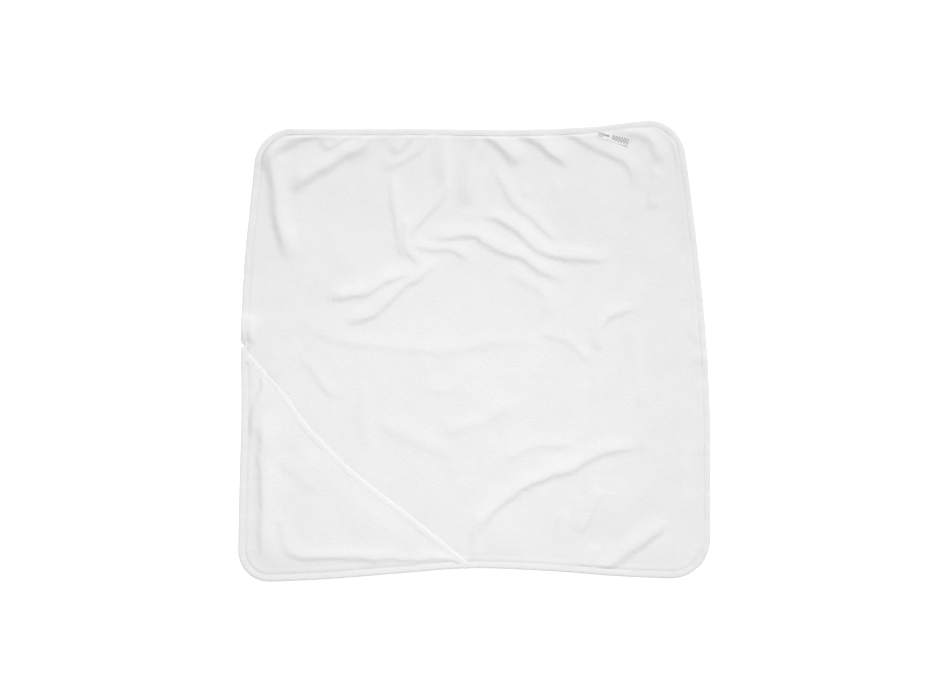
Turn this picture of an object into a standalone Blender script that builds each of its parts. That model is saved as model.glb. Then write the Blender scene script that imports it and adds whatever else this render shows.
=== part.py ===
"""Hooded baby towel, lying flat with its hood in the near left corner.

A square of terry is bound all round with a folded tape. A second, three-cornered terry panel lies on
one corner and makes the hood, and a narrower tape binds its free edge, the mouth. A seam thread runs
round each tape, and a woven label and a care label are caught in the edge seam.

Units are metres. The frame stands at the middle of the towel, on the surface that it lies on:
+X to the right, +Y away from the hood's side and +Z up.
"""

import math

import bmesh
import bpy
from mathutils import Matrix, Vector

# Driving sizes of the towel as it lies
WIDTH = 0.770
LENGTH = 0.752
CORNER_RADII = (0.055, 0.055, 0.067, 0.056)  # top left, bottom left, bottom right, top right
TERRY_THICKNESS = 0.0025
HOOD_TERRY_THICKNESS = 0.0025
GAP = 0.0003  # between pieces that touch on the real towel
CUT = 0.003  # how far a cutter runs past the face that it opens

# Edge binding: one tape folded over the edge of the terry
BINDING_WIDTH = 0.010
BINDING_WALL = 0.0009
BINDING_ROUND = 0.0008  # of the fold at the very edge

# Hood: legs from the sharp corner to the mouth's ends, and a mouth that bows towards the corner
HOOD_LEG_LEFT = 0.386
HOOD_LEG_BOTTOM = 0.386
# (share of the mouth from its left end, how far it bows towards the corner)
MOUTH_BOWS = (
    (0.10, 0.0040), (0.20, 0.0085), (0.29, 0.0175), (0.38, 0.0215), (0.50, 0.0228),
    (0.62, 0.0178), (0.75, 0.0105), (0.90, 0.0040),
)
MOUTH_TAPE_WIDTH = 0.012
MOUTH_TAPE_WALL = 0.0007
HOOD_EDGE_GAP = 0.0005  # between the hood panel and the edge binding beside it

# Seam threads
THREAD_DIAMETER = 0.0005
SEAM_MARGIN = 0.0015  # from a tape's inner edge to its seam

# Labels, caught in the edge seam by one side; the woven one is sewn in askew, its right end lower
WOVEN_LABEL_WIDTH = 0.052
WOVEN_LABEL_LENGTH = 0.008  # of its left side, out of the seam
WOVEN_LABEL_TURN = math.radians(23.5)
WOVEN_LABEL_THICKNESS = 0.0005
WOVEN_LABEL_X = 0.228  # of the middle of its sewn side
CARE_LABEL_WIDTH = 0.040
CARE_LABEL_LENGTH = 0.024
CARE_LABEL_THICKNESS = 0.0004
CARE_LABEL_Y = 0.040

# How far each corner of the lying towel is drawn in from the corner of its bounding rectangle
PULL_TOP_LEFT = Vector((0.033, 0.016))
PULL_TOP_RIGHT = Vector((0.052, -0.001))
PULL_BOTTOM_RIGHT = Vector((0.002, 0.007))
PULL_BOTTOM_LEFT = Vector((0.000, 0.001))

# How each side bows out (+) or in (-) between its corners: (share of the side, bow).
# The left side runs down, the bottom to the right, the right side up and the top to the left.
BOW_LEFT = ((0.15, 0.006), (0.30, 0.012), (0.45, 0.012), (0.62, 0.006), (0.80, 0.0035))
BOW_BOTTOM = ((0.18, -0.004), (0.33, -0.012), (0.49, -0.020), (0.66, -0.0145), (0.83, -0.004))
BOW_RIGHT = ((0.17, 0.007), (0.36, 0.016), (0.54, 0.0175), (0.72, 0.0135), (0.87, 0.007))
BOW_TOP = ((0.08, -0.002), (0.22, -0.010), (0.40, -0.0115), (0.62, -0.006), (0.83, -0.003))

STEP = 0.014  # between points along a side
ARC_STEPS = 9  # in each rounded corner
MOUTH_STEPS = 28  # along the hood's mouth

LABEL_ROOT = 0.0005  # from a label's hinge axis to its sewn side

# Heights in the stack, from the surface up
BINDING_BOTTOM = 0.0
TERRY_BOTTOM = BINDING_BOTTOM + BINDING_WALL + GAP
TERRY_TOP = TERRY_BOTTOM + TERRY_THICKNESS
BINDING_TOP = TERRY_TOP + GAP + BINDING_WALL
MOUTH_TAPE_BOTTOM = TERRY_TOP + GAP
HOOD_BOTTOM = MOUTH_TAPE_BOTTOM + MOUTH_TAPE_WALL + GAP
HOOD_TOP = HOOD_BOTTOM + HOOD_TERRY_THICKNESS
MOUTH_TAPE_TOP = HOOD_TOP + GAP + MOUTH_TAPE_WALL
SEAM_TOP = BINDING_TOP + GAP + THREAD_DIAMETER
WOVEN_LABEL_BOTTOM = TERRY_TOP + GAP
CARE_LABEL_BOTTOM = TERRY_BOTTOM - GAP - CARE_LABEL_THICKNESS

# Turned right over, the woven label lies just above the seam and the care label just under the tape.
WOVEN_LABEL_HINGE = (WOVEN_LABEL_BOTTOM + WOVEN_LABEL_THICKNESS + SEAM_TOP + GAP) / 2
CARE_LABEL_HINGE = (CARE_LABEL_BOTTOM + BINDING_BOTTOM - GAP) / 2

COLOURS = {
    "terry": ((0.86, 0.86, 0.865, 1.0), 0.95),
    "hood_terry": ((0.87, 0.86, 0.855, 1.0), 0.95),
    "tape": ((0.85, 0.85, 0.855, 1.0), 0.85),
    "thread": ((0.88, 0.88, 0.88, 1.0), 0.6),
    "woven_label": ((0.80, 0.80, 0.81, 1.0), 0.6),
    "care_label": ((0.88, 0.88, 0.88, 1.0), 0.45),
}


# ---------------------------------------------------------------- outline

def corner_points():
    """The four sharp corners of the outline, in order: top left, bottom left, bottom right, top right."""
    x, y = WIDTH / 2, LENGTH / 2
    return [
        Vector((-x + PULL_TOP_LEFT.x, y - PULL_TOP_LEFT.y)),
        Vector((-x + PULL_BOTTOM_LEFT.x, -y + PULL_BOTTOM_LEFT.y)),
        Vector((x - PULL_BOTTOM_RIGHT.x, -y + PULL_BOTTOM_RIGHT.y)),
        Vector((x - PULL_TOP_RIGHT.x, y - PULL_TOP_RIGHT.y)),
    ]


def bow_at(bows, share):
    """The bow at this share of a side: a smooth curve through the side's points and its two corners."""
    knots = [(-0.15, 0.0), (0.0, 0.0), *bows, (1.0, 0.0), (1.15, 0.0)]
    for k in range(1, len(knots) - 2):
        (s0, b0), (s1, b1), (s2, b2), (s3, b3) = knots[k - 1:k + 3]
        if s1 <= share <= s2:
            t = (share - s1) / (s2 - s1)
            slope_1 = (b2 - b0) / (s2 - s0) * (s2 - s1)
            slope_2 = (b3 - b1) / (s3 - s1) * (s2 - s1)
            return (
                b1 * (2 * t**3 - 3 * t**2 + 1) + slope_1 * (t**3 - 2 * t**2 + t)
                + b2 * (3 * t**2 - 2 * t**3) + slope_2 * (t**3 - t**2)
            )
    return 0.0


def side_points(start, end, bows, radii):
    """Points along one side, between the two places where its rounded corners take over."""
    along = end - start
    outward = Vector((along.y, -along.x)).normalized()
    first, last = radii[0] / along.length, 1 - radii[1] / along.length
    count = max(8, round(along.length * (last - first) / STEP))
    points = []
    for i in range(count + 1):
        share = first + (last - first) * i / count
        points.append(start + along * share + outward * bow_at(bows, share))
    return points


def rounded(before, after, radius):
    """The points of a round corner that meets both neighbouring sides without a kink."""
    start, end = before[-1], after[0]
    leave = (before[-1] - before[-2]).normalized()
    arrive = (after[1] - after[0]).normalized()
    handle = radius * 4 / 3 * (math.sqrt(2) - 1)
    a, b = start + leave * handle, end - arrive * handle
    points = []
    for i in range(1, ARC_STEPS + 1):
        t = i / (ARC_STEPS + 1)
        points.append(
            start * (1 - t)**3 + a * 3 * t * (1 - t)**2 + b * 3 * t**2 * (1 - t) + end * t**3
        )
    return points


def outline_points():
    """The towel's outer edge as a closed run of points, counter-clockwise seen from above."""
    corners = corner_points()
    bows = (BOW_LEFT, BOW_BOTTOM, BOW_RIGHT, BOW_TOP)
    sides = []
    for k in range(4):
        radii = (CORNER_RADII[k], CORNER_RADII[(k + 1) % 4])
        sides.append(side_points(corners[k], corners[(k + 1) % 4], bows[k], radii))
    points = []
    for k in range(4):
        points += sides[k]
        points += rounded(sides[k], sides[(k + 1) % 4], CORNER_RADII[(k + 1) % 4])
    return points


def inset(points, distance):
    """The closed run of points moved inwards by this distance."""
    moved = []
    for i, point in enumerate(points):
        along = (points[(i + 1) % len(points)] - points[i - 1]).normalized()
        moved.append(point + Vector((-along.y, along.x)) * distance)
    return moved


OUTLINE = outline_points()


# ---------------------------------------------------------------- hood mouth

def crossings(points, height_of):
    """Where the closed run of points crosses zero of height_of, as (index before it, point)."""
    found = []
    for i, a in enumerate(points):
        b = points[(i + 1) % len(points)]
        from_a, from_b = height_of(a), height_of(b)
        if (from_a < 0) != (from_b < 0):
            found.append((i, a.lerp(b, from_a / (from_a - from_b))))
    return found


def leg_end(leg, side):
    """The point of the outline at this distance from the hood's sharp corner: side 0 is the left, 1 the bottom."""
    found = crossings(OUTLINE, lambda p: (p - HOOD_CORNER).length - leg)
    return min((point for _, point in found), key=lambda p: p[side])


HOOD_CORNER = corner_points()[1]
MOUTH_START = leg_end(HOOD_LEG_LEFT, 0)
MOUTH_END = leg_end(HOOD_LEG_BOTTOM, 1)
MOUTH_ALONG = (MOUTH_END - MOUTH_START).normalized()
MOUTH_INTO = Vector((MOUTH_ALONG.y, -MOUTH_ALONG.x))  # towards the hood's corner
MOUTH_LENGTH = (MOUTH_END - MOUTH_START).length


def mouth_share(point):
    return (point - MOUTH_START).dot(MOUTH_ALONG) / MOUTH_LENGTH


def mouth_bow(share):
    return bow_at(MOUTH_BOWS, share)


def mouth_depth(point):
    """How far a point lies inside the hood's mouth, towards the corner."""
    return (point - MOUTH_START).dot(MOUTH_INTO) - mouth_bow(mouth_share(point))


def mouth_curve(first, last, depth):
    """Points from first to last that lie at this depth inside the mouth."""
    start, end = mouth_share(first), mouth_share(last)
    points = [first]
    for i in range(1, MOUTH_STEPS):
        share = start + (end - start) * i / MOUTH_STEPS
        points.append(
            MOUTH_START + MOUTH_ALONG * (share * MOUTH_LENGTH) + MOUTH_INTO * (depth + mouth_bow(share))
        )
    return [*points, last]


def mouth_ends(edge, depth):
    """Where the mouth at this depth meets the closed run: (left crossing, bottom crossing)."""
    found = crossings(edge, lambda p: mouth_depth(p) - depth)
    return sorted(found, key=lambda crossing: crossing[1].x)


def hood_outline(edge_inset, depth):
    """The closed run round the hood: along the towel's edge and back along the mouth."""
    edge = inset(OUTLINE, edge_inset)
    (before_left, left), (before_bottom, bottom) = mouth_ends(edge, depth)
    return [left, *edge[before_left + 1:before_bottom + 1], *mouth_curve(bottom, left, depth)[:-1]]


def mouth_strip(edge_inset, near, far):
    """The closed run round the band of the mouth between two depths."""
    edge = inset(OUTLINE, edge_inset)
    (_, near_left), (_, near_bottom) = mouth_ends(edge, near)
    (_, far_left), (_, far_bottom) = mouth_ends(edge, far)
    return mouth_curve(near_bottom, near_left, near) + mouth_curve(far_left, far_bottom, far)


# ---------------------------------------------------------------- solids

def collection(name):
    made = bpy.data.collections.new(name)
    bpy.context.scene.collection.children.link(made)
    return made


def material(name):
    """A Principled material with the colour and roughness of this cloth."""
    if name in bpy.data.materials:
        return bpy.data.materials[name]
    colour, roughness = COLOURS[name]
    made = bpy.data.materials.new(name)
    made.use_nodes = True
    shader = made.node_tree.nodes["Principled BSDF"]
    shader.inputs["Base Color"].default_value = colour
    shader.inputs["Roughness"].default_value = roughness
    shader.inputs["Metallic"].default_value = 0.0
    return made


def flat_curve(name, runs, thickness):
    """A filled 2D curve of these closed runs of points, with half the thickness to each side."""
    curve = bpy.data.curves.new(name, "CURVE")
    curve.dimensions = "2D"
    curve.fill_mode = "BOTH"
    curve.extrude = thickness / 2
    for run in runs:
        spline = curve.splines.new("POLY")
        spline.points.add(len(run) - 1)
        for point, place in zip(spline.points, run):
            point.co = (place.x, place.y, 0.0, 1.0)
        spline.use_cyclic_u = True
    return bpy.data.objects.new(name, curve)


def plate(name, runs, bottom, top, into, surface=None):
    """A closed flat mesh object of these outlines between two heights."""
    guide = flat_curve(name + "_outline", runs, top - bottom)
    into.objects.link(guide)
    guide.location.z = (bottom + top) / 2
    bpy.context.view_layer.update()
    graph = bpy.context.evaluated_depsgraph_get()
    mesh = bpy.data.meshes.new_from_object(guide.evaluated_get(graph))
    made = bpy.data.objects.new(name, mesh)
    made.matrix_world = guide.matrix_world
    into.objects.link(made)
    bpy.data.objects.remove(guide)
    shape = bmesh.new()
    shape.from_mesh(mesh)
    bmesh.ops.remove_doubles(shape, verts=shape.verts, dist=1e-6)
    bmesh.ops.recalc_face_normals(shape, faces=shape.faces)
    if shape.calc_volume(signed=True) < 0:
        bmesh.ops.reverse_faces(shape, faces=shape.faces)
    shape.to_mesh(mesh)
    shape.free()
    mesh.name = name
    if surface:
        mesh.materials.clear()
        mesh.materials.append(material(surface))
    return made


def cut(piece, cutter):
    """Takes the cutter out of the piece and keeps the cutter as a helper that isn't rendered."""
    cutter.hide_render = True
    cutter.display_type = "WIRE"
    modifier = piece.modifiers.new("cut_" + cutter.name, "BOOLEAN")
    modifier.operation = "DIFFERENCE"
    modifier.solver = "EXACT"
    modifier.object = cutter


def thread(name, run, height, closed, into):
    """A seam thread that lies along these points."""
    curve = bpy.data.curves.new(name, "CURVE")
    curve.dimensions = "3D"
    curve.bevel_depth = THREAD_DIAMETER / 2
    curve.bevel_resolution = 1
    curve.use_fill_caps = not closed
    spline = curve.splines.new("POLY")
    spline.points.add(len(run) - 1)
    for point, place in zip(spline.points, run):
        point.co = (place.x, place.y, 0.0, 1.0)
    spline.use_cyclic_u = closed
    made = bpy.data.objects.new(name, curve)
    made.location.z = height
    curve.materials.append(material("thread"))
    into.objects.link(made)
    return made


def hinge(name, place, along, height, into):
    """An empty on a joint's axis, with its X along the axis."""
    made = bpy.data.objects.new(name, None)
    made.empty_display_size = 0.02
    made.location = (place.x, place.y, height)
    made.rotation_euler.z = math.atan2(along.y, along.x)
    into.objects.link(made)
    return made


def hang(pieces, on):
    """Makes these pieces children of a hinge and leaves them where they are."""
    bpy.context.view_layer.update()
    for piece in pieces:
        piece.parent = on
        piece.matrix_parent_inverse = on.matrix_world.inverted()


def label_corners(width, length, turn):
    """The label's corners on its hinge's X and Y, LABEL_ROOT off the axis; turned, one side is longer."""
    down = Vector((math.sin(turn), math.cos(turn)))
    across = Vector((-math.cos(turn), math.sin(turn)))
    root = Vector((width / math.cos(turn) / 2, LABEL_ROOT))
    far = root + down * length
    other_far = far + across * width
    other_root = other_far - down * ((other_far.y - LABEL_ROOT) / down.y)
    return [root, far, other_far, other_root]


def label(name, corners, thickness, surface, on, rise, into):
    """A flat label of these corners on its hinge, rise above or below the axis."""
    made = plate(name, [corners], rise, rise + thickness, into, surface)
    made.data.transform(made.matrix_world)
    made.matrix_world = Matrix.Identity(4)
    made.parent = on
    return made


def place_on(run, height_of, rank):
    """Where the closed run crosses zero of height_of with the least rank: the point and the run's direction."""
    i, place = min(crossings(run, height_of), key=lambda crossing: rank(crossing[1]))
    return place, (run[(i + 1) % len(run)] - run[i]).normalized()


# ---------------------------------------------------------------- pieces

def make_terry_body(into):
    run = inset(OUTLINE, BINDING_WALL + GAP)
    return plate("terry_body", [run], TERRY_BOTTOM, TERRY_TOP, into, "terry")


def make_edge_binding(into, helpers):
    """The tape: its folded section, which opens inwards and holds the terry's edge, goes round the outline."""
    height, wall, fold = BINDING_TOP - BINDING_BOTTOM, BINDING_WALL, BINDING_ROUND
    section = bpy.data.curves.new("edge_binding_section", "CURVE")
    section.dimensions = "2D"
    spline = section.splines.new("POLY")
    corners = (
        (fold, 0.0), (0.0, fold), (0.0, height - fold), (fold, height),
        (BINDING_WIDTH, height), (BINDING_WIDTH, height - wall), (wall, height - wall),
        (wall, wall), (BINDING_WIDTH, wall), (BINDING_WIDTH, 0.0),
    )
    spline.points.add(len(corners) - 1)
    for point, (x, y) in zip(spline.points, corners):
        point.co = (x, y, 0.0, 1.0)
    spline.use_cyclic_u = True
    profile = bpy.data.objects.new("edge_binding_section", section)
    profile.hide_render = True
    profile.display_type = "WIRE"
    helpers.objects.link(profile)

    tape = bpy.data.curves.new("edge_binding", "CURVE")
    tape.dimensions = "2D"
    tape.fill_mode = "NONE"
    tape.bevel_mode = "OBJECT"
    tape.bevel_object = profile
    spline = tape.splines.new("POLY")
    spline.points.add(len(OUTLINE) - 1)
    for point, place in zip(spline.points, OUTLINE):
        point.co = (place.x, place.y, 0.0, 1.0)
    spline.use_cyclic_u = True
    tape.materials.append(material("tape"))
    made = bpy.data.objects.new("edge_binding", tape)
    made.location.z = BINDING_BOTTOM
    into.objects.link(made)
    return made


def make_hood_panel(into):
    run = hood_outline(BINDING_WIDTH + HOOD_EDGE_GAP, MOUTH_TAPE_WALL + GAP)
    return plate("hood_panel", [run], HOOD_BOTTOM, HOOD_TOP, into, "hood_terry")


def make_hood_mouth_binding(into, helpers):
    """The tape over the hood's free edge: a strip with a slot that opens towards the hood's corner."""
    edge = BINDING_WIDTH + HOOD_EDGE_GAP
    strip = plate(
        "hood_mouth_binding", [mouth_strip(edge, 0.0, MOUTH_TAPE_WIDTH)],
        MOUTH_TAPE_BOTTOM, MOUTH_TAPE_TOP, into, "tape",
    )
    slot = plate(
        "hood_mouth_binding_slot", [mouth_strip(edge - CUT, MOUTH_TAPE_WALL, MOUTH_TAPE_WIDTH + CUT)],
        MOUTH_TAPE_BOTTOM + MOUTH_TAPE_WALL, MOUTH_TAPE_TOP - MOUTH_TAPE_WALL, helpers,
    )
    cut(strip, slot)
    return strip


def make_edge_threads(into):
    """The two threads of the edge seam: on the tape in front, and beside it behind."""
    radius = THREAD_DIAMETER / 2
    front = inset(OUTLINE, BINDING_WIDTH - SEAM_MARGIN)
    thread("edge_seam_needle_thread", front, BINDING_TOP + GAP + radius, True, into)
    back = inset(OUTLINE, BINDING_WIDTH + GAP + radius)
    thread("edge_seam_bobbin_thread", back, TERRY_BOTTOM - GAP - radius, True, into)


def make_mouth_threads(into):
    """The two threads of the mouth's seam: on the tape in front, and beside it behind."""
    radius = THREAD_DIAMETER / 2
    edge = inset(OUTLINE, BINDING_WIDTH + HOOD_EDGE_GAP + SEAM_MARGIN)
    made = []
    for name, depth, height in (
        ("mouth_seam_needle_thread", MOUTH_TAPE_WIDTH - SEAM_MARGIN, MOUTH_TAPE_TOP + GAP + radius),
        ("mouth_seam_bobbin_thread", MOUTH_TAPE_WIDTH + GAP + radius, HOOD_BOTTOM - GAP - radius),
    ):
        (_, left), (_, bottom) = mouth_ends(edge, depth)
        made.append(thread(name, mouth_curve(left, bottom, depth), height, False, into))
    return made


def make_woven_label(into):
    """The label under the top edge: it flips up and back over the binding and its seam."""
    run = inset(OUTLINE, BINDING_WIDTH + GAP)
    place, along = place_on(run, lambda p: p.x - WOVEN_LABEL_X, lambda p: -p.y)
    on = hinge("woven_label_hinge", place, along, WOVEN_LABEL_HINGE, into)
    corners = label_corners(WOVEN_LABEL_WIDTH, WOVEN_LABEL_LENGTH, WOVEN_LABEL_TURN)
    return label(
        "woven_label", corners, WOVEN_LABEL_THICKNESS, "woven_label",
        on, WOVEN_LABEL_BOTTOM - WOVEN_LABEL_HINGE, into,
    )


def make_care_label(into):
    """The label behind the left edge: it swings down and out under the binding."""
    run = inset(OUTLINE, BINDING_WIDTH + GAP + THREAD_DIAMETER)
    place, along = place_on(run, lambda p: p.y - CARE_LABEL_Y, lambda p: p.x)
    on = hinge("care_label_hinge", place, along, CARE_LABEL_HINGE, into)
    corners = label_corners(CARE_LABEL_WIDTH, CARE_LABEL_LENGTH, 0.0)
    return label(
        "care_label", corners, CARE_LABEL_THICKNESS, "care_label",
        on, CARE_LABEL_BOTTOM - CARE_LABEL_HINGE, into,
    )


def main():
    for old in list(bpy.data.objects):
        bpy.data.objects.remove(old)
    towel = collection("hooded_baby_towel")
    helpers = collection("cutters")
    make_terry_body(towel)
    make_edge_binding(towel, helpers)
    make_edge_threads(towel)
    hood = [make_hood_panel(towel), make_hood_mouth_binding(towel, helpers), *make_mouth_threads(towel)]
    hang(hood, hinge("hood_hinge", HOOD_CORNER, MOUTH_ALONG, HOOD_BOTTOM, towel))
    make_woven_label(towel)
    make_care_label(towel)


main()
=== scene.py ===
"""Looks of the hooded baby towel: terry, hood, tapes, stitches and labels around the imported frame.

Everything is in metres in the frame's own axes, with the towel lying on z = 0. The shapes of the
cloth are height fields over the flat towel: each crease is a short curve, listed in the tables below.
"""

import math

import bmesh
import bpy
import numpy as np
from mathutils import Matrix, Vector
from mathutils.kdtree import KDTree


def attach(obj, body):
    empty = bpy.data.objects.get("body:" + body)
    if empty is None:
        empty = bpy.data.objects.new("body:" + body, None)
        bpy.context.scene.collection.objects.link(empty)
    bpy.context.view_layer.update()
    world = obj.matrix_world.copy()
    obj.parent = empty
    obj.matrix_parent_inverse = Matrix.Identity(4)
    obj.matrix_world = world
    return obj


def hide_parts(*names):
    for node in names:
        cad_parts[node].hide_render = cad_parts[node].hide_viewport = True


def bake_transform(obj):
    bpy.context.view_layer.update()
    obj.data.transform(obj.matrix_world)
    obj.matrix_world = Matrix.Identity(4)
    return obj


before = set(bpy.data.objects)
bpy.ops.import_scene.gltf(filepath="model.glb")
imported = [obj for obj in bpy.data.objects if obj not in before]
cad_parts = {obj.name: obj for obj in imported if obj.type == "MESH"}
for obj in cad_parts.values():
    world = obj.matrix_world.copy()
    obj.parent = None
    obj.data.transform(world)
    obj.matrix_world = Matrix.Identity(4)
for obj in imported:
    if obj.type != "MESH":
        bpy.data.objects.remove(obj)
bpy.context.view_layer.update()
MM = 0.001  # in metres


# ------------ sizes

CLOTH = 2.4 * MM  # thickness of the terry
PRESSED = 1.3 * MM  # thickness of the terry inside a tape
UNDERSIDE = 0.3 * MM  # of the terry above the floor, away from its edge
TAPE_WALL = 0.55 * MM
TAPE_WIDTH = 10.0 * MM  # of the edge tape
TAPE_OVER = 1.0 * MM  # of the terry's underside above the tape's, at the edge
EDGE_INSET = 3.5 * MM  # of the terry's own edge, inside the tape
LEVEL_INSET = 11.0 * MM  # the cloth is level from here outwards, where the tape holds it
SPACING = 2.1 * MM  # of the mesh
UNDER_STEP = 4  # the underside's mesh is this much coarser
SIDE_LENGTH = 0.742  # of the terry, about, for counting its mesh

# How the tapes, the hood and the care label shape the cloth beside them; distances run inwards
CREASES_FROM = 8.0 * MM  # from the edge: creases grow to full size from here inwards
THICK_FROM = 8.8 * MM  # from the edge: the terry thickens from here inwards
RAMP = 8.0 * MM  # the width over which such a change takes place
TAPED_CREASE = 0.25  # share of a crease that is left inside the edge tape
HOOD_PRESS = 0.8  # share of the terry's unevenness that the hood presses flat
HOOD_PRESS_RAMP = 0.03  # across the mouth
HELD_TO, HELD_RAMP = 0.022, 0.012  # the terry's underside rises to the tape from here outwards
HOOD_HELD_TO, HOOD_HELD_RAMP = 0.021, 0.011  # the hood's own unevenness fades from here outwards
HOOD_THICK_FROM = (9.3 * MM, 11.0 * MM)  # from the towel's edge, from the hood's mouth
HOOD_THICK_RAMP = 30 * MM
MOUTH_HELD_TO = 14 * MM  # the mouth's tape holds the hood down from here outwards
CREASE_LIMIT = 13 * MM  # creases that cross don't add up beyond this
LIFT_SOFTNESS = 0.3 * MM  # rounds off the change from lying flat to being lifted
PUCKER_SEED = 21
CARE_MIDDLE, CARE_HALF, CARE_REACH = 0.040, 0.026, 0.048  # y, half length and inner end of the lump over it
CARE_ROOM = 1.15 * MM  # between the floor and the terry over the care label

MOUTH_START = np.array((-0.3790, 0.0110))
MOUTH_END = np.array((0.0003, -0.3520))
MOUTH_BOWS = (  # (share of the mouth, how far it bows towards the hood's corner)
    (-0.1, 0.0), (0.0, 0.0), (0.10, 4.0 * MM), (0.20, 8.5 * MM), (0.29, 17.5 * MM), (0.38, 21.5 * MM),
    (0.50, 22.8 * MM), (0.62, 17.8 * MM), (0.75, 10.5 * MM), (0.90, 4.0 * MM), (1.0, 0.0), (1.1, 0.0),
)
MOUTH_TAPE_WALL = 0.4 * MM
MOUTH_TAPE_IN_SEAM = 0.62  # its thickness at its sewn ends, as a share
MOUTH_CLOTH_INSET = 4.0 * MM  # of the hood's own free edge, inside its tape
HOOD_INSET = 5.0 * MM  # of the hood's sewn edges, inside the edge tape
HOOD_LIFT = 0.3 * MM  # between the terry and the hood that lies on it

STITCH_PITCH = 3.0 * MM
STITCH_LENGTH = 2.3 * MM
STITCH_RADIUS = 0.24 * MM
LABEL_THICKNESS = 0.5 * MM
LABEL_IN_SEAM = 1.2 * MM  # how far the woven label reaches into the edge tape
CARE_THICKNESS = 0.35 * MM

# Where the mouth's seam pinches the left edge: (y, depth, half height)
PINCH = (9.5 * MM, 6.0 * MM, 2.8 * MM)

# ------------ creases
# Each crease is a ridge: its left side, seen along the line, falls gently and its right side steeply.
# (points, (height, gentle half width, steep half width)), in mm, running so that the light is on the left

DEEP = (5.6, 18, 8.0)
STRONG = (3.5, 15, 6.2)
PLAIN = (2.3, 13, 5.8)
SOFT = (1.3, 14, 7.0)
FAINT = (0.7, 14, 8.0)
CORNER = (7.6, 10, 9.0)
BROAD = (6.6, 16, 9.5)
TALL = (6.6, 16, 8.0)
LONG = (2.9, 16, 6.4)

TOWEL_CREASES = (
    # the top left corner and the gathers under the top edge
    (((-340, 286), (-334, 306), (-320, 321), (-293, 337), (-264, 347), (-235, 351), (-200, 353)), CORNER),
    (((-324, 340), (-333, 312), (-334, 288), (-329, 258), (-325, 223), (-315, 177), (-306, 140)), BROAD),
    (((-300, 250), (-264, 281), (-240, 294), (-212, 310), (-183, 325), (-169, 342), (-150, 366)), TALL),
    (((-252, 324), (-226, 332), (-208, 342), (-186, 362)), STRONG),
    (((-205, 298), (-165, 325), (-130, 360)), SOFT),
    (((-134, 314), (-112, 332), (-86, 366)), STRONG),
    (((-150, 288), (-92, 320), (-58, 366)), PLAIN),
    (((-4, 372), (-7, 340), (-15, 306), (-22, 270), (-28, 228)), (5.4, 13, 16.0)),
    (((-112, 170), (-94, 198), (-66, 230), (-46, 258), (-43, 290), (-44, 322), (-45, 372)), STRONG),
    (((-14, 372), (20, 342), (48, 320), (74, 294)), DEEP),
    (((42, 372), (86, 342), (109, 325), (132, 309), (156, 292)), DEEP),
    (((110, 372), (166, 341), (194, 327), (234, 308), (250, 288), (256, 252)), STRONG),
    (((238, 346), (264, 345), (281, 337), (290, 323), (296, 298)), (4.0, 10, 9.0)),
    (((314, 355), (324, 325), (332, 298), (340, 262)), STRONG),
    (((290, 300), (284, 264), (276, 226)), PLAIN),
    # soft hanging folds below them
    (((28, 300), (50, 255), (71, 228), (92, 212), (110, 193), (142, 172)), PLAIN),
    (((-184, 292), (-178, 262), (-184, 236)), FAINT),
    (((-134, 290), (-138, 250), (-133, 215), (-128, 184), (-114, 140)), PLAIN),
    (((-116, 222), (-118, 188), (-111, 164), (-90, 134)), PLAIN),
    # the fan right of the middle
    (
        ((-92, 186), (-49, 181), (-4, 184), (16, 173), (49, 157), (77, 147), (97, 131), (122, 119),
         (156, 104)), STRONG,
    ),
    (((-6, 220), (40, 208), (65, 192), (85, 173), (105, 157), (138, 149), (180, 146), (234, 147)), STRONG),
    (((-108, 172), (-73, 163), (-40, 160), (-4, 143)), PLAIN),
    (((46, 126), (81, 107), (105, 91), (115, 50)), SOFT),
    (((-36, 226), (-10, 212), (14, 200)), FAINT),
    # the two diagonals left of the middle
    (((-246, 79), (-220, 82), (-175, 91), (-150, 108), (-124, 117), (-90, 131)), STRONG),
    (((-216, 38), (-160, 59), (-130, 88), (-109, 105), (-89, 115), (-73, 131), (-48, 141)), STRONG),
    # the fold line that the towel was kept with, and the right side
    (((-300, 52), (-230, 16), (-150, 4), (-50, -4), (40, 8), (140, 4)), (1.0, 14, 8.0)),
    (((96, 26), (153, 10), (188, -30)), SOFT),
    (((206, -4), (211, 44), (266, 72)), PLAIN),
    (((252, 44), (258, -30), (262, -110)), (1.2, 14, 10.0)),
    (((340, 34), (356, 16), (384, -4)), SOFT),
    (((-396, 16), (-374, 18), (-352, 16)), (1.8, 12, 6.0)),
    # the middle, above the hood's mouth
    (((-284, -10), (-255, -48), (-228, -86)), SOFT),
    (((-188, -46), (-187, -105), (-186, -164)), (1.2, 14, 12.0)),
    (((-172, -110), (-107, -146), (-22, -184)), (1.3, 18, 12.0)),
    (((-66, -140), (10, -122), (76, -80)), (1.5, 16, 11.0)),
    (((-96, -60), (-50, -68), (-6, -60)), FAINT),
    # the bottom right
    (((0, -322), (16, -280), (50, -245), (104, -214), (170, -190), (209, -168), (290, -154)), LONG),
    (((46, -184), (98, -157), (166, -156)), SOFT),
    (((168, -300), (196, -256), (212, -220)), (1.8, 12, 6.0)),
    (((196, -368), (238, -338), (272, -314), (322, -276)), (3.4, 16, 7.0)),
    (((176, -360), (192, -338), (204, -316)), SOFT),
    (((140, -254), (131, -300), (132, -340)), (1.2, 10, 7.0)),
    (((2, -256), (-6, -300), (-4, -344)), SOFT),
    (((324, -130), (334, -200), (338, -270)), FAINT),
)
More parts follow.
